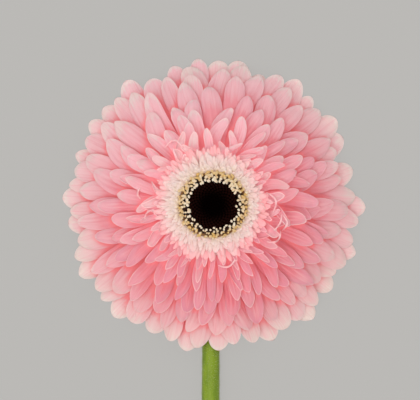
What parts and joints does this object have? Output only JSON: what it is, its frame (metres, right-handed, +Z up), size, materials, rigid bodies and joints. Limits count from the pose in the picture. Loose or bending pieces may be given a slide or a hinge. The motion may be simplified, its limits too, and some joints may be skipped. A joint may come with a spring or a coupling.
{
  "type": "cut gerbera",
  "caption": "Cut gerbera flower lying face up: stacked whorls of pink ray petals, a cream frill and a near-black disc, on a green stalk bent at the neck.",
  "frame": {"origin": "middle of the outline that the flower covers, seen from above, on the surface it lies on", "axes": "+Z up out of the flower's face, +Y from the cut end of the stalk towards the head, +X to the right of the head seen from above with the stalk pointing down the picture"},
  "size_m": [0.111, 0.3294, 0.0388],
  "materials": {
    "petal_pink": "satin fresh petal, pink, paler towards the tip, finely grooved lengthwise",
    "trans_cream": "soft matt cream with pale pink points",
    "anther_gold": "matt gold and cream with dark gaps",
    "disc_maroon": "matt near-black maroon",
    "head_green": "matt green with fine hairs",
    "stalk_green": "satin yellow-green with fine hairs and shallow ribs",
    "achene_cream": "matt cream bristles"
  },
  "bodies": {
    "root": {"stalk": "stalk_green", "receptacle": "head_green", "bracts_outer": "head_green", "bracts_middle": "head_green", "bracts_inner": "head_green", "achene_bed": "achene_cream", "ray_petal_01": "petal_pink", "ray_petal_02": "petal_pink", "ray_petal_03": "petal_pink", "ray_petal_04": "petal_pink", "ray_petal_05": "petal_pink", "ray_petal_06": "petal_pink", "ray_petal_07": "petal_pink", "ray_petal_08": "petal_pink", "ray_petal_09": "petal_pink", "ray_petal_10": "petal_pink", "ray_petal_11": "petal_pink", "ray_petal_12": "petal_pink", "ray_petal_13": "petal_pink", "ray_petal_14": "petal_pink", "ray_petal_15": "petal_pink", "ray_petal_16": "petal_pink", "ray_petal_17": "petal_pink", "ray_petal_18": "petal_pink", "ray_petal_19": "petal_pink", "ray_petal_20": "petal_pink", "ray_petal_21": "petal_pink", "ray_petal_22": "petal_pink", "ray_petal_23": "petal_pink", "ray_petal_24": "petal_pink", "ray_petal_25": "petal_pink", "ray_petal_26": "petal_pink", "ray_petal_27": "petal_pink", "ray_petal_28": "petal_pink", "ray_whorl_02": "petal_pink", "ray_whorl_03": "petal_pink", "ray_whorl_04": "petal_pink", "ray_whorl_05": "petal_pink", "ray_whorl_06": "petal_pink", "ray_whorl_07": "petal_pink", "ray_whorl_08": "petal_pink", "ray_whorl_09": "petal_pink", "ray_whorl_10": "petal_pink", "trans_florets_outer": "trans_cream", "trans_florets_inner": "trans_cream", "anther_ring": "anther_gold", "disc_florets": "disc_maroon"}
  },
  "joints": []
}
